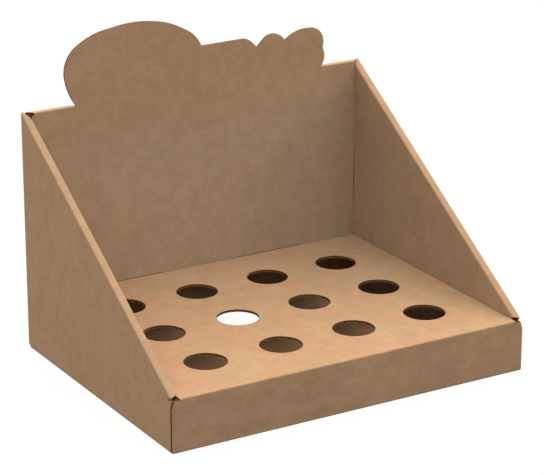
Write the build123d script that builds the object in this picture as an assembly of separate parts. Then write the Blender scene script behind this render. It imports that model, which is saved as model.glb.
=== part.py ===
from build123d import *

import os
from math import atan2, cos, pi, sin, tan

# Counter display stand of corrugated board, folded from one die-cut blank: a base, sloping side
# walls rolled over from outside to inside, a front that turns back into a platform with product
# holes, and a rolled-over back whose inner layer carries the header.
# Millimetres, +Z up, front towards -Y, origin under the middle of the base.

# Overall sizes of the folded stand
stand_width = 240.0
stand_depth = 186.0
shoulder_height = 151.4
platform_height = 32.9
wall_front_height = 32.4

# Board, creases and the air between layers
board = 1.6
fold_radius = 0.3
crease_radius = 1.0
layer_gap = 0.2
wall_gap = 0.1
back_gap = 1.0
corner_relief = 1.8

# Free ends of the front, and the front and rear ends of the rolled-over side walls
front_end_drop = 1.0
front_corner_width = 1.5
front_corner_height = 4.6
base_corner_radius = 1.5
roll_end_trim = 1.0
roll_end_slant = 1.6
left_rear_inset = 1.0
right_rear_inset = 0.1
roll_rear_depth = 3.0
left_mitre_gap = 2.0
right_mitre_gap = 0.2

# Platform with its product holes and the two rear tabs
hole_diameter = 26.0
hole_pitch = 50.6
hole_columns = 4
hole_rows = 3
platform_side_gap = 0.3
platform_tab_width = 45.6
platform_tab_spacing = 101.0
platform_tab_reach = 0.6
slot_end_gap = 0.4
slot_headroom = 0.45

# Strut cut out of the base and folded up under the platform
strut_width = 56.6
strut_offset = 0.9
strut_crease_to_back = 6.5

# Flaps of the outer sides, tucked in behind the front, and of the back, inside the side walls
front_flap_length = 58.0
back_flap_length = 64.0

# Tabs of the inner side walls: in the base, and through the corners of the inner back
base_tab_width = 30.0
base_tab_spacing = 92.0
lock_tab_low = 59.0
lock_tab_height = 32.0
lock_tab_reach = 0.6
lock_slot_gap = 0.5

# Header outline: each row is an arc's middle and its end, or a straight run with no middle
header_width = 184.0
header_height = 46.5
header_cut_gap = 0.2
header_left_foot_share = -0.463
header_outline_shares = [
    ((-0.490, 0.206), (-0.502, 0.422)),
    ((-0.490, 0.634), (-0.461, 0.771)),
    ((-0.402, 0.899), (-0.328, 0.966)),
    ((-0.253, 1.0), (-0.164, 0.974)),
    ((-0.104, 0.911), (-0.052, 0.810)),
    ((-0.015, 0.704), (0.011, 0.546)),
    (None, (0.168, 0.552)),
    ((0.188, 0.540), (0.203, 0.505)),
    (None, (0.228, 0.409)),
    (None, (0.259, 0.527)),
    ((0.291, 0.561), (0.338, 0.440)),
    ((0.383, 0.540), (0.435, 0.563)),
    ((0.480, 0.492), (0.493, 0.349)),
    (None, (0.490, 0.255)),
    ((0.497, 0.169), (0.483, 0.0)),
]

# Places that several panels share
half_width = stand_width / 2
half_depth = stand_depth / 2
fold_outer = fold_radius + board
layer_step = board + layer_gap
side_front = layer_step - half_depth
side_wall = 3 * board + 2 * wall_gap
inner_side = half_width - side_wall
flap_side = half_width - board - wall_gap
panel_half = flap_side - fold_outer
back_wall = 2 * board + back_gap
inner_back = half_depth - back_wall
platform_half = inner_side - platform_side_gap
platform_back = inner_back - layer_gap
base_top = board + layer_gap
flap_bottom = fold_outer + layer_gap
slope = atan2(shoulder_height - wall_front_height, stand_depth)
header_left_foot = header_left_foot_share * header_width
header_right_foot = header_outline_shares[-1][1][0] * header_width
strut_crease = inner_back - strut_crease_to_back
strut_left = strut_offset - strut_width / 2
strut_right = strut_offset + strut_width / 2
strut_top = platform_height - layer_step
strut_length = strut_top - fold_outer + pi / 2 * (fold_radius + board / 2)

LEFT, RIGHT = Vector(-1, 0, 0), Vector(1, 0, 0)
FRONT, BACK = Vector(0, -1, 0), Vector(0, 1, 0)
DOWN, UP = Vector(0, 0, -1), Vector(0, 0, 1)


def patch(low_u, high_u, low_v, high_v):
    """A rectangle between two pairs of limits, in the plane of a panel."""
    middle = Pos((low_u + high_u) / 2, (low_v + high_v) / 2)
    return middle * Rectangle(high_u - low_u, high_v - low_v)


def outline(*points):
    """A closed panel outline through its corners."""
    return make_face(Polyline(*points, close=True))


def level_panel(face, low):
    """Board that lies level, with its underside at a height."""
    return extrude(Plane.XY.offset(low) * face, board)


def cross_panel(face, front):
    """Board that stands across the stand, with its front face at a depth."""
    return extrude(Plane.XZ.offset(-front - board) * face, board)


def side_panel(face, left):
    """Board that stands along the stand, with its left face at a place across it."""
    return extrude(Plane.YZ.offset(left) * face, board)


def fold(middle, first, second, length):
    """A scored crease turned through a right angle about its middle point.

    One panel lies on the first side of that point and the other on the second. The liner keeps a
    tight outer corner, and the board is crushed to a small round inside it.
    """
    corner = patch(0, fold_outer, 0, fold_outer)
    outermost = corner.vertices().sort_by(Axis((0, 0, 0), (1, 1, 0)))[-1]
    section = fillet(outermost, crease_radius) - Circle(fold_radius)
    across = Plane(origin=middle, x_dir=first, z_dir=first.cross(second))
    return extrude(across * section, length / 2, both=True)


def wall_top(y):
    """Height of the sloping top of a side wall at a depth."""
    return wall_front_height + (y + half_depth) * tan(slope)


def below_roll(y):
    """Height just clear of the rolled-over top of a side wall at a depth."""
    return wall_top(y) - layer_step / cos(slope)


def below_crease(y):
    """Height at a depth where a side panel runs into its sloping crease."""
    return wall_top(y) - fold_outer / cos(slope)


front_flap_top = min(platform_height - layer_step, below_roll(side_front) - layer_gap)


def spread(count, pitch):
    """Places of a row of features about its middle."""
    return [(index - (count - 1) / 2) * pitch for index in range(count)]


def base_panel():
    """The base, with its slots, the strut's window and the creases to the walls."""
    face = patch(
        fold_outer - half_width,
        half_width - fold_outer,
        fold_outer - half_depth,
        half_depth - fold_outer,
    )
    half_slot = base_tab_width / 2 + slot_end_gap
    for y in spread(2, base_tab_spacing):
        slot = patch(inner_side - layer_gap, inner_side + layer_step, y - half_slot, y + half_slot)
        face -= slot
        face -= mirror(slot, about=Plane.YZ)
    face -= patch(strut_left, strut_right, strut_crease - strut_length, strut_crease)
    low = fold_outer
    side_start = fold_outer - half_depth + layer_gap
    side_end = half_depth - corner_relief
    side_middle = (side_start + side_end) / 2
    side_length = side_end - side_start
    front_crease = fold(Vector(0, fold_outer - half_depth, low), DOWN, FRONT, stand_width)
    front_view = patch(-half_width, half_width, 0, platform_height)
    front_view = fillet(front_view.vertices().group_by(Axis.Y)[0], base_corner_radius)
    rounded_ends = extrude(Plane.XZ * front_view, half_depth)
    return [
        level_panel(face, 0),
        fold(Vector(0, half_depth - fold_outer, low), DOWN, BACK, 2 * panel_half),
        front_crease & rounded_ends,
        fold(Vector(half_width - fold_outer, side_middle, low), DOWN, RIGHT, side_length),
        fold(Vector(fold_outer - half_width, side_middle, low), DOWN, LEFT, side_length),
    ]


def strut():
    """The strut that the window leaves, upright under the platform."""
    face = patch(strut_left, strut_right, fold_outer, strut_top)
    return [
        fold(Vector(strut_offset, strut_crease, fold_outer), DOWN, FRONT, strut_width),
        cross_panel(face, strut_crease - fold_outer),
    ]


def right_side_wall(rear_inset):
    """A right side wall: outer panel, rolled-over top and inner panel with its tabs."""
    outer_front = side_front + fold_outer
    roll_front = side_front + roll_end_trim
    roll_corner = side_front + roll_end_slant
    undercut = fold_outer * sin(slope)
    panel_front = roll_front + undercut
    above_flap = front_flap_top + layer_gap
    outer = outline(
        (outer_front, fold_outer),
        (half_depth, fold_outer),
        (half_depth, below_crease(half_depth)),
        (panel_front, below_crease(panel_front)),
        (panel_front, above_flap),
        (outer_front, above_flap),
    )
    inner_front = roll_corner + undercut
    inner = outline(
        (inner_front, base_top),
        (platform_back, base_top),
        (platform_back, below_crease(platform_back)),
        (inner_front, below_crease(inner_front)),
    )
    for y in spread(2, base_tab_spacing):
        inner += patch(y - base_tab_width / 2, y + base_tab_width / 2, layer_gap, base_top)
    lock_end = inner_back + board + lock_tab_reach
    inner += patch(platform_back, lock_end, lock_tab_low, lock_tab_low + lock_tab_height)

    raised = Vector(0, -sin(slope), cos(slope))
    top = Vector(0, 0, wall_top(0))
    axis = top - raised * fold_outer
    length = 2 * stand_depth
    outer_crease = fold(axis + RIGHT * (half_width - fold_outer), RIGHT, raised, length)
    inner_crease = fold(axis + RIGHT * (inner_side + fold_outer), raised, LEFT, length)
    strip_plane = Plane(origin=top - raised * board, x_dir=RIGHT, z_dir=raised)
    strip_limits = (inner_side + fold_outer, half_width - fold_outer)
    strip = extrude(strip_plane * patch(*strip_limits, -stand_depth, stand_depth), board)
    plan = outline(
        (half_width, -half_depth),
        (inner_side, -half_depth),
        (inner_side, inner_back - roll_rear_depth),
        (inner_side + rear_inset, inner_back),
        (half_width - board, half_depth),
        (half_width, half_depth),
    )
    on_slope = outline(
        (half_width, roll_front / cos(slope)),
        (half_width - roll_end_trim, side_front / cos(slope)),
        (inner_side, roll_corner / cos(slope)),
        (inner_side, stand_depth),
        (half_width, stand_depth),
    )
    square_ends = extrude(Plane(origin=top, x_dir=RIGHT, z_dir=raised) * on_slope, -fold_outer)
    roll = outer_crease + strip + inner_crease
    roll = roll & extrude(plan, 2 * shoulder_height) & square_ends
    return [
        side_panel(outer, half_width - board),
        side_panel(inner, inner_side),
        roll,
    ]


def right_flaps():
    """A right side's flap behind the front, and the back's flap inside the right side wall."""
    front_edge = half_width - fold_outer
    front_face = patch(half_width - front_flap_length, front_edge, flap_bottom, front_flap_top)
    back_start = half_depth - fold_outer
    back_end = half_depth - back_flap_length
    back_top = below_roll(back_start)
    back_face = outline(
        (back_start, flap_bottom),
        (back_end, flap_bottom),
        (back_end, below_roll(back_end)),
        (back_start, back_top),
    )
    front_height = front_flap_top - flap_bottom
    front_middle = Vector(front_edge, side_front + fold_outer, flap_bottom + front_height / 2)
    back_middle = Vector(panel_half, back_start, (flap_bottom + back_top) / 2)
    return [
        cross_panel(front_face, side_front),
        fold(front_middle, FRONT, RIGHT, front_height),
        side_panel(back_face, flap_side - board),
        fold(back_middle, BACK, RIGHT, back_top - flap_bottom),
    ]


def front_and_platform():
    """The front, its crease, and the platform with product holes and rear tabs."""
    crease = platform_height - fold_outer
    front_top = platform_height - front_end_drop
    front = patch(-half_width, half_width, fold_outer, front_top)
    corner = outline(
        (half_width, front_top),
        (half_width, front_top - front_corner_height),
        (half_width - front_corner_width, front_top),
    )
    front -= corner
    front -= mirror(corner, about=Plane.YZ)
    freed_half = platform_half + layer_gap
    front -= patch(-freed_half, freed_half, crease, front_top)
    platform_front = fold_outer - half_depth
    platform = patch(-platform_half, platform_half, platform_front, platform_back)
    tab_end = inner_back + board + platform_tab_reach
    half_tab = platform_tab_width / 2
    for x in spread(2, platform_tab_spacing):
        platform += patch(x - half_tab, x + half_tab, platform_back, tab_end)
    grid_middle = (inner_back - half_depth) / 2
    for x in spread(hole_columns, hole_pitch):
        for y in spread(hole_rows, hole_pitch):
            platform -= Pos(x, grid_middle + y) * Circle(hole_diameter / 2)
    return [
        cross_panel(front, -half_depth),
        fold(Vector(0, platform_front, crease), FRONT, UP, 2 * platform_half),
        level_panel(platform, platform_height - board),
    ]


def header_face():
    """The header outline on the shoulder line, closed below by the depth of the crease."""
    def place(share):
        return (share[0] * header_width, shoulder_height + share[1] * header_height)

    crease = shoulder_height - fold_outer
    start = (header_left_foot, shoulder_height)
    edges = [Line((header_left_foot, crease), start)]
    for middle, end in header_outline_shares:
        if middle:
            edges.append(ThreePointArc(start, place(middle), place(end)))
        else:
            edges.append(Line(start, place(end)))
        start = place(end)
    edges.append(Line(start, (header_right_foot, crease)))
    edges.append(Line((header_right_foot, crease), (header_left_foot, crease)))
    return make_face(edges)


def back_wall_panels():
    """The outer back with the cut left by the header, the shoulders and the inner back."""
    crease = shoulder_height - fold_outer
    flap_top = below_roll(half_depth - fold_outer)
    outer_face = patch(-panel_half, panel_half, fold_outer, flap_top)
    outer_face += patch(-flap_side, flap_side, flap_top, crease)
    outer = cross_panel(outer_face, half_depth - board)

    inner_half = inner_side + board
    inner_corner = below_roll(inner_back)
    shoulder_half = inner_side - layer_gap
    inner_face = patch(-inner_half, inner_half, base_top, inner_corner)
    inner_face += patch(-shoulder_half, shoulder_half, inner_corner, crease) + header_face()
    slot_half = platform_tab_width / 2 + slot_end_gap
    slot_low = platform_height - board - layer_gap
    slot_high = platform_height + slot_headroom
    for x in spread(2, platform_tab_spacing):
        inner_face -= patch(x - slot_half, x + slot_half, slot_low, slot_high)
    lock_low = lock_tab_low - slot_end_gap
    lock_high = lock_tab_low + lock_tab_height + slot_end_gap
    lock_slot = patch(inner_side - lock_slot_gap, inner_half, lock_low, lock_high)
    inner_face -= lock_slot
    inner_face -= mirror(lock_slot, about=Plane.YZ)

    rear_corner = half_width - board
    plan = outline(
        (left_mitre_gap - inner_side, inner_back),
        (inner_side - right_mitre_gap, inner_back),
        (rear_corner - right_mitre_gap, half_depth),
        (left_mitre_gap / 2 - rear_corner, half_depth),
    )
    within_mitres = extrude(plan, 2 * shoulder_height)
    shoulders = []
    left_shoulder = (-flap_side, header_left_foot - header_cut_gap)
    right_shoulder = (header_right_foot + header_cut_gap, flap_side)
    for low, high in (left_shoulder, right_shoulder):
        outer_axis = Vector((low + high) / 2, half_depth - fold_outer, crease)
        inner_axis = Vector((low + high) / 2, inner_back + fold_outer, crease)
        top = patch(low, high, inner_back + fold_outer, half_depth - fold_outer)
        outer += fold(outer_axis, BACK, UP, high - low) & within_mitres
        shoulders.append(level_panel(top, shoulder_height - board) & within_mitres)
        shoulders.append(fold(inner_axis, UP, FRONT, high - low) & within_mitres)

    turned_down = mirror(header_face(), about=Plane.XZ.offset(-shoulder_height - back_wall / 2))
    cut = extrude(Plane.XZ.offset(-half_depth) * turned_down, fold_outer)
    return [outer - cut, cross_panel(inner_face, inner_back), *shoulders]


right_parts = right_side_wall(right_rear_inset) + right_flaps()
turned_parts = right_side_wall(left_rear_inset) + right_flaps()
left_parts = [mirror(piece, about=Plane.YZ) for piece in turned_parts]
base, *others = base_panel() + strut() + front_and_platform() + back_wall_panels()
display_stand = base + others + right_parts + left_parts

os.makedirs("parts", exist_ok=True)
export_step(display_stand, "parts/display_stand.step")
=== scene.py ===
import math
from collections import namedtuple

import bmesh
import bpy
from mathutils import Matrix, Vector
from mathutils.bvhtree import BVHTree


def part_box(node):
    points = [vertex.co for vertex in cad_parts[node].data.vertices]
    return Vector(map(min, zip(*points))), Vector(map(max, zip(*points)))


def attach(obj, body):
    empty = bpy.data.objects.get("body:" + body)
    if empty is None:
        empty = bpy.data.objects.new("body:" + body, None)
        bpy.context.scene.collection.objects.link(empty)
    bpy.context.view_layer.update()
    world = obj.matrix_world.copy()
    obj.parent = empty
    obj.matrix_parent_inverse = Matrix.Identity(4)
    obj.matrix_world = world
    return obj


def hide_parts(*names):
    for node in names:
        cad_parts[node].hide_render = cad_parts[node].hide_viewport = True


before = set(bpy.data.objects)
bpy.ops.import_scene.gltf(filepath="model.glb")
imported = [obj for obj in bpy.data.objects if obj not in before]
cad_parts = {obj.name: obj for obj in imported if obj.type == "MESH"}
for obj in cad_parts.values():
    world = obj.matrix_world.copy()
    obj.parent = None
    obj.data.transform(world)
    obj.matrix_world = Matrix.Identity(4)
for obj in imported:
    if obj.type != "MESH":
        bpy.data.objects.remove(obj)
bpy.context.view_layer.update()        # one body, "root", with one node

STAND = "display_stand"
MM = 0.001

# Corrugated board: two liners and the wavy fluting between them
BOARD = 1.6 * MM
LINER = 0.22 * MM
FLUTING = 0.32 * MM
FLUTE_PITCH = 3.3 * MM
FLUTE_MOUTH_SHARE = 0.38
FLUTE_CURVE_SHARES = (-0.27, -0.135, 0.0, 0.135, 0.27)
CREASE_ROOM = 3.4 * MM
OVERRUN = 0.1 * MM

# Places of the panels, from the stand's own box and its folds
low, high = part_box(STAND)
SHOULDER = 151.4 * MM
PLATFORM_TOP = 32.9 * MM
WALL_FRONT = 32.4 * MM
BACK_GAP = 1.0 * MM
LAYER_GAP = 0.2 * MM
SIDE_WALL = 5.0 * MM
TAB_CENTRE = 50.5 * MM
TAB_HALF = 22.8 * MM
TAB_END = 91.0 * MM
HEADER_FEET = (-85.19 * MM, 88.87 * MM)
WINDOW_LEFT = -27.4 * MM
WINDOW_RIGHT = 29.2 * MM
WINDOW_FRONT = 51.37 * MM
INNER_BACK = high.y - 2 * BOARD - BACK_GAP
INNER_SIDE = high.x - SIDE_WALL
SLOPE = (SHOULDER - WALL_FRONT) / (high.y - low.y)

# Sorting of the faces; a tilt is the share of a face's normal along one axis
WELD = 0.001 * MM
SECTION_SLACK = 0.2 * MM
RAY_START = 0.01 * MM
SHARP_ANGLE = math.radians(30.0)
END_TILT = 0.3
UPRIGHT_TILT = 0.1
CORNER_ROOM = 5.0 * MM
# The third slot holds near-black pulp: painted shade for the open flutes and for cut ends that lie
# in shade
LINER_SLOT, EDGE_SLOT, FLUTE_SHADE_SLOT = range(3)

# Which faces turn the grain or count as level, and how far the liner's tints reach, the painted
# light inside and on the front among them
SIDE_TILT = 0.8
LEVEL_TILT = 0.5
INSIDE_FADE = 40.0 * MM
FRONT_FADE = 2.0 * MM

# Layers of the liner's pulp: width of the patches in millimetres, detail and roughness
Layer = namedtuple("Layer", "width detail rough")
CLOUDS = Layer(40.0, 3.0, 0.55)
BLOTCHES = Layer(10.0, 3.0, 0.5)
MOTTLE = Layer(3.6, 2.0, 0.5)
GRAIN = Layer(0.8, 2.0, 0.6)
FIBRES = Layer(1.1, 3.0, 0.7)
HUES = Layer(13.0, 3.0, 0.5)
SMUDGES = Layer(7.0, 3.0, 0.6)
STAINS = Layer(20.0, 4.0, 0.6)
PALE_FLECKS = Layer(1.6, 1.0, 0.5)
FIBRE_STRETCH = (0.35, 1.0, 1.0)
SMUDGE_STRETCH = (0.45, 1.0, 1.0)
PALE_STRETCH = (0.4, 1.2, 1.2)
HUE_SHIFT = (311.0, 173.0, 97.0)

# Weights of those layers in the liner's tone and height, and the values that each ramp spreads out
CLOUD_TONE = 0.18
BLOTCH_TONE = 0.20
MOTTLE_TONE = 0.20
GRAIN_TONE = 0.15
FIBRE_TONE = 0.07
GRAIN_HEIGHT = 0.40
FIBRE_HEIGHT = 0.25
WASHBOARD_HEIGHT = 0.25
MOTTLE_HEIGHT = 0.60
TONE_ENDS = (0.20, 0.60)
HUE_ENDS = (0.35, 0.65)
SMUDGE_ENDS = (0.38, 0.62)
STAIN_ENDS = (0.40, 0.60)
PALE_ENDS = (0.68, 0.78)

# Dark flecks in the liner, in millimetres, and how strongly both kinds of fleck show
SPECK_SPACING = 5.0
SPECK_RADIUS = 0.6
SPECK_CORE = 0.35
SPECK_SHARE = 0.46
PALE_SHARE = 0.22

# Washboard of the flutes under the liner; the wave texture turns this many radians a unit
WAVE_RADIANS = 20.0
WASHBOARD = {"Distortion": 0.6, "Detail": 2.0, "Detail Scale": 0.5}

# Finish of the liner
LINER_ROUGH = 0.70
LINER_ROUGH_SWING = 0.16
LINER_GLOSS = 0.12
LINER_BUMP = 0.30
LINER_BUMP_DEPTH = 0.06 * MM

# Bare pulp of the cut edges and the fluting: its two layers, their weights and its finish
EDGE_LUMPS = Layer(1.2, 3.0, 0.65)
EDGE_FUZZ = Layer(0.24, 2.0, 0.7)
FLUTE_LUMPS = Layer(2.5, 3.0, 0.65)
FLUTE_FUZZ = Layer(0.5, 2.0, 0.7)
LUMP_TONE = 0.6
FUZZ_TONE = 0.4
PULP_ENDS = (0.36, 0.64)
PULP_ROUGH = 0.95
PULP_GLOSS = 0.1
PULP_BUMP = 0.6
PULP_BUMP_DEPTH = 0.1 * MM

# Colours, linear; tints and stains multiply the board's own colour
KRAFT_DARK = (0.374, 0.238, 0.134, 1.0)
KRAFT_MID = (0.436, 0.280, 0.158, 1.0)
KRAFT_LIGHT = (0.498, 0.323, 0.184, 1.0)
OLIVE_TINT = (0.98, 1.0, 0.97, 1.0)
ROSY_TINT = (1.025, 0.995, 1.0, 1.0)
# Painted light: a cooler tint for the upright faces inside the stand, standing in for the cooler
# light there
INSIDE_COOL_LIGHT_TINT = (0.97, 1.04, 1.13, 1.0)
# Front: real smudges, and painted light: both tones are set warmer, standing in for warmer light on
# the front
FRONT_SMUDGE_WARM_LIGHT = (0.965, 0.912, 0.890, 1.0)
FRONT_CLEAN_WARM_LIGHT = (1.055, 1.008, 0.990, 1.0)
OLIVE_STAIN = (0.981, 1.019, 1.0, 1.0)
ROSY_STAIN = (1.022, 0.974, 0.985, 1.0)
FLECK_DARK = (0.200, 0.115, 0.060, 1.0)
FLECK_LIGHT = (0.620, 0.430, 0.270, 1.0)
EDGE_DARK = (0.290, 0.140, 0.048, 1.0)
EDGE_LIGHT = (0.430, 0.220, 0.080, 1.0)
# Painted shade: the fluting's pulp made near black, for the open flutes and the cut ends that lie in
# shade
FLUTE_SHADE_DARK = (0.075, 0.033, 0.011, 1.0)
FLUTE_SHADE_LIGHT = (0.150, 0.070, 0.026, 1.0)

# Camera, as solved from the corners of the stand
CAMERA_PLACE = (-0.7141, -1.2031, 0.5790)
CAMERA_TILT = math.radians(19.678)
CAMERA_TURN = math.radians(-30.687)
CAMERA_LENS = 163.26
CAMERA_SENSOR = 36.0

# Studio
FLOOR_SIZE = 6.0
FLOOR_DROP = 0.2 * MM
FLOOR_WHITE_SHARE = 0.955
FLOOR_SEEN = (0.85, 0.85, 0.85, 1.0)
FLOOR_BOUNCE = (0.15, 0.15, 0.15, 1.0)
WHITE = (1.0, 1.0, 1.0, 1.0)
WARM_LIGHT = (1.15, 0.975, 0.87, 1.0)
COOL_LIGHT = (0.85, 1.0, 1.15, 1.0)

# Soft patches of the studio's sky: heading, tightness, strength and colour
SKY_PATCHES = [
    ((0.0, 0.0, 1.0), 4.0, 1.2, WARM_LIGHT),
    ((0.0, 0.94, 0.34), 3.0, 4.1, WARM_LIGHT),
    ((0.94, 0.0, 0.34), 3.0, 2.3, WARM_LIGHT),
    ((-0.45, -0.45, 0.77), 6.0, 1.3, COOL_LIGHT),
    ((0.0, -0.64, 0.77), 6.0, 0.88, COOL_LIGHT),
]

# Sockets of the Mix node: its two vectors and their result, its two colours and theirs
MIX_VECTORS = (4, 5)
MIX_VECTOR_RESULT = 1
MIX_COLOURS = (6, 7)
MIX_COLOUR_RESULT = 2


def flute_section(side):
    """Corners of one open flute across the board, under the liner on that side (1 or -1)."""
    mouth = BOARD / 2 - LINER
    swing = mouth - FLUTING / 2
    corners = [(FLUTE_MOUTH_SHARE * FLUTE_PITCH, side * mouth)]
    corners.append((-FLUTE_MOUTH_SHARE * FLUTE_PITCH, side * mouth))
    for share in FLUTE_CURVE_SHARES:
        wave = FLUTING / 2 - swing * math.cos(2 * math.pi * share)
        corners.append((share * FLUTE_PITCH, side * wave))
    return corners


def add_flute(mesh, place, centre, side, start, end):
    """One open flute as a closed prism; place turns (across, along, through) into a point."""
    rings = []
    for along in (start, end):
        ring = [mesh.verts.new(place(centre + u, along, n)) for u, n in flute_section(side)]
        rings.append(ring)
    near, far = rings
    mesh.faces.new(near)
    mesh.faces.new(list(reversed(far)))
    for index, corner in enumerate(near):
        following = (index + 1) % len(near)
        mesh.faces.new((corner, near[following], far[following], far[index]))


def add_flutes(mesh, place, first, last, spans):
    """The flutes of one panel, centred every half pitch from first to last, liner by liner."""
    step = FLUTE_PITCH / 2
    for number in range(math.ceil(first / step), math.floor(last / step) + 1):
        side = 1 if number % 2 == 0 else -1
        for start, end in spans(number * step):
            add_flute(mesh, place, number * step, side, start, end)


def level(middle):
    """Points of a level panel whose middle is at that height; its flutes run front to back."""
    return lambda u, v, n: Vector((u, v, middle + n))


def across(middle):
    """Points of a panel that stands across the stand at that depth; its flutes run upright."""
    return lambda u, v, n: Vector((u, middle + n, v))


def sideways(middle):
    """Points of a side panel at that place along x; its flutes run front to back."""
    return lambda u, v, n: Vector((middle + n, v, u))


def in_tab(x):
    """True where a flute of the platform runs on into one of its rear tabs."""
    return abs(abs(x) - TAB_CENTRE) < TAB_HALF - FLUTE_PITCH / 2


def platform_spans(x):
    rear = TAB_END if in_tab(x) else INNER_BACK - LAYER_GAP
    return [(low.y + CREASE_ROOM, rear + OVERRUN)]


def between_feet(x):
    """True where the inner back runs on upwards into the header."""
    return HEADER_FEET[0] + FLUTE_PITCH < x < HEADER_FEET[1] - FLUTE_PITCH


def inner_back_spans(x):
    bottom = BOARD + LAYER_GAP - OVERRUN
    if between_feet(x):
        return [(bottom, high.z + OVERRUN)]
    lobe = (SHOULDER + OVERRUN, high.z + OVERRUN)
    return [(bottom, SHOULDER - CREASE_ROOM), lobe]


def outer_back_spans(x):
    top = SHOULDER + OVERRUN if between_feet(x) else SHOULDER - CREASE_ROOM
    return [(CREASE_ROOM, top)]


def side_spans(z):
    start = low.y + (z + FLUTE_PITCH / 2 + CREASE_ROOM - WALL_FRONT) / SLOPE
    return [(max(start, low.y + 2 * CREASE_ROOM), high.y + OVERRUN)]


def base_spans(x):
    return [(low.y + CREASE_ROOM, WINDOW_FRONT + OVERRUN)]


def flute_cutter():
    """All the open flutes that reach a cut edge in view, as one mesh of closed prisms."""
    mesh = bmesh.new()
    half_board = BOARD / 2
    reach = INNER_SIDE - FLUTE_PITCH
    add_flutes(mesh, level(PLATFORM_TOP - half_board), -reach, reach, platform_spans)
    add_flutes(mesh, across(INNER_BACK + half_board), -reach, reach, inner_back_spans)
    add_flutes(mesh, across(high.y - half_board), -reach, reach, outer_back_spans)
    add_flutes(mesh, level(half_board), WINDOW_LEFT, WINDOW_RIGHT, base_spans)
    top = SHOULDER - 2 * CREASE_ROOM
    for middle in (low.x + half_board, high.x - half_board):
        add_flutes(mesh, sideways(middle), CREASE_ROOM + FLUTE_PITCH / 2, top, side_spans)
    bmesh.ops.recalc_face_normals(mesh, faces=mesh.faces)
    # painted shade: the hollows of the open flutes get the near-black pulp
    for face in mesh.faces:
        face.material_index = FLUTE_SHADE_SLOT
    return mesh


def at_front_end(face):
    """True for the cut ends of the front, left and right, and for their rounded lower corners."""
    return face.calc_center_median().y < low.y + BOARD and abs(face.normal.x) > END_TILT


def at_rear_mitre(face):
    """True for the slanting cut ends of the shoulders, at the rear corners."""
    upright = abs(face.normal.z) < UPRIGHT_TILT
    slanting = min(abs(face.normal.x), abs(face.normal.y)) > END_TILT
    return upright and slanting and face.calc_center_median().z > SHOULDER - CORNER_ROOM


def is_crushed(face):
    """True for the ends of the outer side boards behind the front, which are pressed smooth."""
    place = face.calc_center_median()
    return abs(place.x) > high.x - BOARD and low.y + BOARD < place.y < low.y + CORNER_ROOM


def at_corner(face):
    """True by the front's corners and by the rear corners of the rolled-over walls."""
    place = face.calc_center_median()
    outermost = abs(place.x) > INNER_SIDE - CORNER_ROOM
    return outermost and (place.y < low.y + CORNER_ROOM or place.z > SHOULDER - CORNER_ROOM)


def follow_bends(mesh):
    """Carry the liner round the creases: it goes on wherever its face bends without an edge."""
    waiting = [face for face in mesh.faces if face.material_index == LINER_SLOT]
    while waiting:
        for edge in waiting.pop().edges:
            if len(edge.link_faces) < 2 or edge.calc_face_angle() > SHARP_ANGLE:
                continue
            for face in edge.link_faces:
                if face.material_index == EDGE_SLOT:
                    face.material_index = LINER_SLOT
                    waiting.append(face)


def sorted_board():
    """The stand's solid as one welded mesh, with its liner faces and cut edges told apart."""
    mesh = bmesh.new()
    mesh.from_mesh(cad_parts[STAND].data)
    bmesh.ops.remove_doubles(mesh, verts=mesh.verts, dist=WELD)
    tree = BVHTree.FromBMesh(mesh)
    for face in mesh.faces:
        inward = -face.normal
        start = face.calc_center_median() + inward * RAY_START
        depth = tree.ray_cast(start, inward)[3]
        through_board = depth is not None and abs(depth - BOARD) < SECTION_SLACK
        face.material_index = LINER_SLOT if through_board else EDGE_SLOT
        # painted shade: the front's cut ends and the rear mitres get the near-black pulp
        if at_front_end(face) or at_rear_mitre(face):
            face.material_index = FLUTE_SHADE_SLOT
    follow_bends(mesh)
    # painted shade: bare cut edges by the corners get the near-black pulp, except the crushed ends
    for face in mesh.faces:
        if face.material_index == EDGE_SLOT and at_corner(face):
            face.material_index = LINER_SLOT if is_crushed(face) else FLUTE_SHADE_SLOT
    return mesh


def mesh_object(name, mesh, materials):
    """The mesh as an object of the scene, with those materials in its slots."""
    data = bpy.data.meshes.new(name)
    mesh.to_mesh(data)
    mesh.free()
    for material in materials:
        data.materials.append(material)
    made = bpy.data.objects.new(name, data)
    bpy.context.scene.collection.objects.link(made)
    return made


def cut_open(board, cutter):
    """Cut the flutes out of the board and keep the result as its mesh."""
    cut = board.modifiers.new("flutes", "BOOLEAN")
    cut.operation = "DIFFERENCE"
    cut.solver = "MANIFOLD"
    cut.object = cutter
    graph = bpy.context.evaluated_depsgraph_get()
    result = bpy.data.meshes.new_from_object(board.evaluated_get(graph))
    board.modifiers.clear()
    board.data = result
    bpy.data.objects.remove(cutter)


def drop_closed_flutes(mesh):
    """Take out the flutes that no cut edge opens: hollows inside the board that never show."""
    reached = {face for face in mesh.faces if face.material_index == LINER_SLOT}
    waiting = list(reached)
    while waiting:
        for edge in waiting.pop().edges:
            for face in edge.link_faces:
                if face not in reached:
                    reached.add(face)
                    waiting.append(face)
    closed = [face for face in mesh.faces if face not in reached]
    bmesh.ops.delete(mesh, geom=closed, context="FACES")


def smooth_bends(board):
    """Smooth the bends of the creases, and keep flats flat and cut edges sharp."""
    mesh = bmesh.new()
    mesh.from_mesh(board.data)
    drop_closed_flutes(mesh)
    for face in mesh.faces:
        face.smooth = True
    for edge in mesh.edges:
        edge.smooth = len(edge.link_faces) == 2 and edge.calc_face_angle() < SHARP_ANGLE
    mesh.to_mesh(board.data)
    mesh.free()
    weighted = board.modifiers.new("flat_panels", "WEIGHTED_NORMAL")
    weighted.mode = "FACE_AREA"
    weighted.keep_sharp = True


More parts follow.
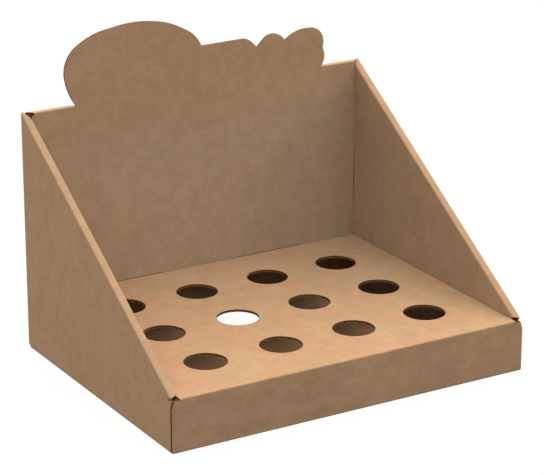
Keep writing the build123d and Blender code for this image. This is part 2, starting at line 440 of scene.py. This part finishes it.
def add_node(tree, kind, settings=None, sockets=None):
    """Add a shader node; an output given for a socket is linked, any other value is set."""
    made = tree.nodes.new("ShaderNode" + kind)
    for name, value in (settings or {}).items():
        setattr(made, name, value)
    for name, value in (sockets or {}).items():
        if isinstance(value, bpy.types.NodeSocket):
            tree.links.new(value, made.inputs[name])
        else:
            made.inputs[name].default_value = value
    return made


def calculate(tree, operation, *values):
    """One step of arithmetic."""
    sockets = dict(enumerate(values))
    return add_node(tree, "Math", {"operation": operation}, sockets).outputs[0]


def weighted_sum(tree, *terms):
    """The values of all terms added up, each times its weight."""
    value, weight = terms[0]
    total = calculate(tree, "MULTIPLY", value, weight)
    for value, weight in terms[1:]:
        total = calculate(tree, "MULTIPLY_ADD", value, weight, total)
    return total


def noise(tree, place, layer):
    """A soft noise whose patches have the layer's width."""
    sockets = {"Vector": place, "Scale": 1.0 / layer.width}
    sockets.update({"Detail": layer.detail, "Roughness": layer.rough})
    return add_node(tree, "TexNoise", None, sockets).outputs[0]


def ramp(tree, value, low_end, high_end):
    """The value stretched so that low_end is 0 and high_end is 1, and held between."""
    sockets = {"Value": value, "From Min": low_end, "From Max": high_end}
    return add_node(tree, "MapRange", {"interpolation_type": "SMOOTHSTEP"}, sockets).outputs[0]


def mix_colours(tree, factor, first, second, blend="MIX"):
    """The first colour, with the second mixed in by the factor."""
    settings = {"data_type": "RGBA", "blend_type": blend}
    sockets = {0: factor, MIX_COLOURS[0]: first, MIX_COLOURS[1]: second}
    return add_node(tree, "Mix", settings, sockets).outputs[MIX_COLOUR_RESULT]


def vector_step(tree, operation, place, other):
    """One step of arithmetic on places."""
    return add_node(tree, "VectorMath", {"operation": operation}, {0: place, 1: other}).outputs[0]


def split(tree, vector):
    """The three parts of a vector."""
    return add_node(tree, "SeparateXYZ", None, {0: vector}).outputs


def local_place(tree):
    """Place on the stand, in metres."""
    return add_node(tree, "TexCoord").outputs["Object"]


def face_tilt(tree, axis):
    """How far the face is turned towards an axis, from 0 to 1."""
    normal = add_node(tree, "NewGeometry").outputs["True Normal"]
    return calculate(tree, "ABSOLUTE", split(tree, normal)[axis])


def board_place(tree):
    """Place on the board in millimetres, turned on the side walls so that x is across the flutes."""
    place = vector_step(tree, "MULTIPLY", local_place(tree), (1 / MM, 1 / MM, 1 / MM))
    x, y, z = split(tree, place)
    turned = add_node(tree, "CombineXYZ", None, {0: z, 1: y, 2: x}).outputs[0]
    on_side = calculate(tree, "GREATER_THAN", face_tilt(tree, 0), SIDE_TILT)
    sockets = {0: on_side, MIX_VECTORS[0]: place, MIX_VECTORS[1]: turned}
    return add_node(tree, "Mix", {"data_type": "VECTOR"}, sockets).outputs[MIX_VECTOR_RESULT]


def inside_light_share(tree):
    """Where the painted cooler light goes: 1 on the upright faces inside the stand, fading out up to
    the shoulders, and 0 elsewhere.
    """
    x, y, z = split(tree, local_place(tree))
    share = ramp(tree, z, SHOULDER, SHOULDER - INSIDE_FADE)
    limits = [
        calculate(tree, "LESS_THAN", calculate(tree, "ABSOLUTE", x), INNER_SIDE + OVERRUN),
        calculate(tree, "LESS_THAN", y, INNER_BACK + OVERRUN),
        calculate(tree, "GREATER_THAN", y, low.y + 2 * BOARD),
        calculate(tree, "LESS_THAN", face_tilt(tree, 2), LEVEL_TILT),
    ]
    for limit in limits:
        share = calculate(tree, "MULTIPLY", share, limit)
    return share


def front_smudge_and_light_share(tree):
    """Where the front's smudges and painted warm light go: 1 on the front's outer face, fading out
    round its creases.
    """
    depth = split(tree, local_place(tree))[1]
    return ramp(tree, depth, low.y + FRONT_FADE, low.y)


def tray_share(tree):
    """1 on the front and the platform, fading out at the side walls, and 0 above them."""
    parts = split(tree, local_place(tree))
    within = ramp(tree, calculate(tree, "ABSOLUTE", parts[0]), high.x, INNER_SIDE)
    below = calculate(tree, "LESS_THAN", parts[2], PLATFORM_TOP + OVERRUN)
    return calculate(tree, "MULTIPLY", within, below)


def new_material(name):
    """A new material with its node tree and shader."""
    material = bpy.data.materials.new(name)
    material.use_nodes = True
    tree = material.node_tree
    return material, tree, tree.nodes["Principled BSDF"]


def add_bump(tree, shader, strength, depth, height):
    """Let the height show as a fine relief of that depth."""
    bump = add_node(tree, "Bump", None, {"Strength": strength, "Distance": depth, "Height": height})
    tree.links.new(bump.outputs[0], shader.inputs["Normal"])


def kraft_tone(tree, tone):
    """The board's own brown, from dark to light."""
    colours = add_node(tree, "ValToRGB", None, {"Fac": ramp(tree, tone, *TONE_ENDS)})
    stops = colours.color_ramp.elements
    stops[0].color = KRAFT_DARK
    stops[1].color = KRAFT_LIGHT
    stops.new(0.5).color = KRAFT_MID
    return colours.outputs[0]


def add_tints(tree, colour, shifted):
    """Olive to rosy clouds all over, a cooler inside that is painted light, a smudged front warmed
    by painted light, and a stained tray.
    """
    hue = ramp(tree, noise(tree, shifted, HUES), *HUE_ENDS)
    tint = mix_colours(tree, hue, OLIVE_TINT, ROSY_TINT)
    colour = mix_colours(tree, 1.0, colour, tint, "MULTIPLY")
    # painted light: the upright faces inside are tinted cooler, standing in for the cooler light
    # there
    colour = mix_colours(tree, inside_light_share(tree), colour, INSIDE_COOL_LIGHT_TINT, "MULTIPLY")
    # real smudges on the front, set on a warmer tone that is painted light
    drawn_out = vector_step(tree, "MULTIPLY", shifted, SMUDGE_STRETCH)
    smudged = ramp(tree, noise(tree, drawn_out, SMUDGES), *SMUDGE_ENDS)
    front = mix_colours(tree, smudged, FRONT_SMUDGE_WARM_LIGHT, FRONT_CLEAN_WARM_LIGHT)
    colour = mix_colours(tree, front_smudge_and_light_share(tree), colour, front, "MULTIPLY")
    stained = ramp(tree, noise(tree, shifted, STAINS), *STAIN_ENDS)
    stain = mix_colours(tree, stained, OLIVE_STAIN, ROSY_STAIN)
    return mix_colours(tree, tray_share(tree), colour, stain, "MULTIPLY")


def add_flecks(tree, colour, place, shifted):
    """Small dark specks, and short pale fibres."""
    cells = {"Vector": place, "Scale": 1.0 / SPECK_SPACING}
    distance = add_node(tree, "TexVoronoi", None, cells).outputs["Distance"]
    specks = ramp(tree, distance, SPECK_RADIUS / SPECK_SPACING, SPECK_CORE / SPECK_SPACING)
    colour = mix_colours(tree, calculate(tree, "MULTIPLY", specks, SPECK_SHARE), colour, FLECK_DARK)
    drawn_out = vector_step(tree, "MULTIPLY", shifted, PALE_STRETCH)
    pale = ramp(tree, noise(tree, drawn_out, PALE_FLECKS), *PALE_ENDS)
    return mix_colours(tree, calculate(tree, "MULTIPLY", pale, PALE_SHARE), colour, FLECK_LIGHT)


def kraft_liner():
    """Smooth unbleached liner: soft clouds of pulp, olive to rosy, fine fibres and a few flecks."""
    material, tree, shader = new_material("kraft_liner")
    place = board_place(tree)
    shifted = vector_step(tree, "ADD", place, HUE_SHIFT)
    clouds = noise(tree, place, CLOUDS)
    blotches = noise(tree, place, BLOTCHES)
    mottle = noise(tree, place, MOTTLE)
    grain = noise(tree, place, GRAIN)
    fibres = noise(tree, vector_step(tree, "MULTIPLY", place, FIBRE_STRETCH), FIBRES)
    waves = {"Vector": place, "Scale": 2 * math.pi / (FLUTE_PITCH / MM) / WAVE_RADIANS, **WASHBOARD}
    washboard = add_node(tree, "TexWave", {"bands_direction": "X"}, waves).outputs["Fac"]

    tone = weighted_sum(tree, (clouds, CLOUD_TONE), (blotches, BLOTCH_TONE), (mottle, MOTTLE_TONE),
                        (grain, GRAIN_TONE), (fibres, FIBRE_TONE))
    colour = add_tints(tree, kraft_tone(tree, tone), shifted)
    colour = add_flecks(tree, colour, place, shifted)
    tree.links.new(colour, shader.inputs["Base Color"])

    rough = calculate(tree, "MULTIPLY_ADD", grain, LINER_ROUGH_SWING, LINER_ROUGH)
    tree.links.new(rough, shader.inputs["Roughness"])
    shader.inputs["Specular IOR Level"].default_value = LINER_GLOSS
    height = weighted_sum(tree, (grain, GRAIN_HEIGHT), (fibres, FIBRE_HEIGHT),
                          (washboard, WASHBOARD_HEIGHT), (mottle, MOTTLE_HEIGHT))
    add_bump(tree, shader, LINER_BUMP, LINER_BUMP_DEPTH, height)
    return material


def raw_paper(name, dark, light, lumps, fuzz):
    """Torn or cut pulp without the liner's smooth face, in two tones."""
    material, tree, shader = new_material(name)
    place = board_place(tree)
    coarse = noise(tree, place, lumps)
    fine = noise(tree, place, fuzz)
    tone = weighted_sum(tree, (coarse, LUMP_TONE), (fine, FUZZ_TONE))
    colour = mix_colours(tree, ramp(tree, tone, *PULP_ENDS), dark, light)
    tree.links.new(colour, shader.inputs["Base Color"])
    shader.inputs["Roughness"].default_value = PULP_ROUGH
    shader.inputs["Specular IOR Level"].default_value = PULP_GLOSS
    add_bump(tree, shader, PULP_BUMP, PULP_BUMP_DEPTH, tone)
    return material


def seen_directly(tree):
    """1 for rays from the camera, from gloss and through glass, and 0 for rays that carry light."""
    path = add_node(tree, "LightPath").outputs
    seen = calculate(tree, "MAXIMUM", path["Is Camera Ray"], path["Is Glossy Ray"])
    return calculate(tree, "MAXIMUM", seen, path["Is Transmission Ray"])


def studio_floor():
    """Pale floor: white to the eye, with the stand's shadow left in it."""
    material = bpy.data.materials.new("studio_floor")
    material.use_nodes = True
    tree = material.node_tree
    tree.nodes.clear()
    seen = seen_directly(tree)
    colour = mix_colours(tree, seen, FLOOR_BOUNCE, FLOOR_SEEN)
    matt = add_node(tree, "BsdfDiffuse", None, {"Color": colour}).outputs[0]
    white = add_node(tree, "Emission", None, {"Strength": 1.0}).outputs[0]
    share = calculate(tree, "MULTIPLY", seen, FLOOR_WHITE_SHARE)
    both = add_node(tree, "MixShader", None, {0: share, 1: matt, 2: white}).outputs[0]
    add_node(tree, "OutputMaterial", None, {"Surface": both})
    mesh = bmesh.new()
    bmesh.ops.create_grid(mesh, x_segments=1, y_segments=1, size=FLOOR_SIZE / 2)
    floor = mesh_object("studio_floor", mesh, [material])
    floor.location.z = low.z - FLOOR_DROP


def sky_patch(tree, heading, aim, tightness, strength):
    """Brightness of one soft patch of sky about an aim, above the horizon only."""
    settings = {"operation": "DOT_PRODUCT"}
    nearness = add_node(tree, "VectorMath", settings, {0: heading, 1: aim}).outputs["Value"]
    nearness = calculate(tree, "POWER", calculate(tree, "MAXIMUM", nearness, 0.0), tightness)
    above = calculate(tree, "GREATER_THAN", split(tree, heading)[2], 0.0)
    return calculate(tree, "MULTIPLY", calculate(tree, "MULTIPLY", nearness, above), strength)


def studio_light():
    """White surroundings to the eye, and soft light from wide patches of sky."""
    world = bpy.data.worlds.new("studio")
    world.use_nodes = True
    tree = world.node_tree
    tree.nodes.clear()
    heading = add_node(tree, "TexCoord").outputs["Generated"]
    lit = None
    for aim, tightness, strength, colour in SKY_PATCHES:
        amount = sky_patch(tree, heading, aim, tightness, strength)
        patch = add_node(tree, "Background", None, {"Color": colour, "Strength": amount}).outputs[0]
        lit = add_node(tree, "AddShader", None, {0: lit, 1: patch}).outputs[0] if lit else patch
    white = add_node(tree, "Background", None, {"Color": WHITE}).outputs[0]
    both = add_node(tree, "MixShader", None, {0: seen_directly(tree), 1: lit, 2: white}).outputs[0]
    add_node(tree, "OutputWorld", None, {"Surface": both})
    bpy.context.scene.world = world


def photo_camera():
    """Camera at the photograph's viewing angle."""
    lens = bpy.data.cameras.new("camera")
    lens.lens = CAMERA_LENS
    lens.sensor_width = CAMERA_SENSOR
    camera = bpy.data.objects.new("camera", lens)
    camera.location = CAMERA_PLACE
    camera.rotation_euler = (math.pi / 2 - CAMERA_TILT, 0.0, CAMERA_TURN)
    bpy.context.scene.collection.objects.link(camera)
    bpy.context.scene.camera = camera


board_materials = [
    kraft_liner(),
    raw_paper("cut_edge", EDGE_DARK, EDGE_LIGHT, EDGE_LUMPS, EDGE_FUZZ),
    # painted shade: near-black pulp for the open flutes and the cut ends in shade
    raw_paper("fluting", FLUTE_SHADE_DARK, FLUTE_SHADE_LIGHT, FLUTE_LUMPS, FLUTE_FUZZ),
]
folded_board = mesh_object("folded_board", sorted_board(), board_materials)
cut_open(folded_board, mesh_object("flutes", flute_cutter(), board_materials))
smooth_bends(folded_board)
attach(folded_board, "root")
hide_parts(STAND)

studio_floor()
studio_light()
photo_camera()
bpy.context.scene.view_settings.view_transform = "Standard"
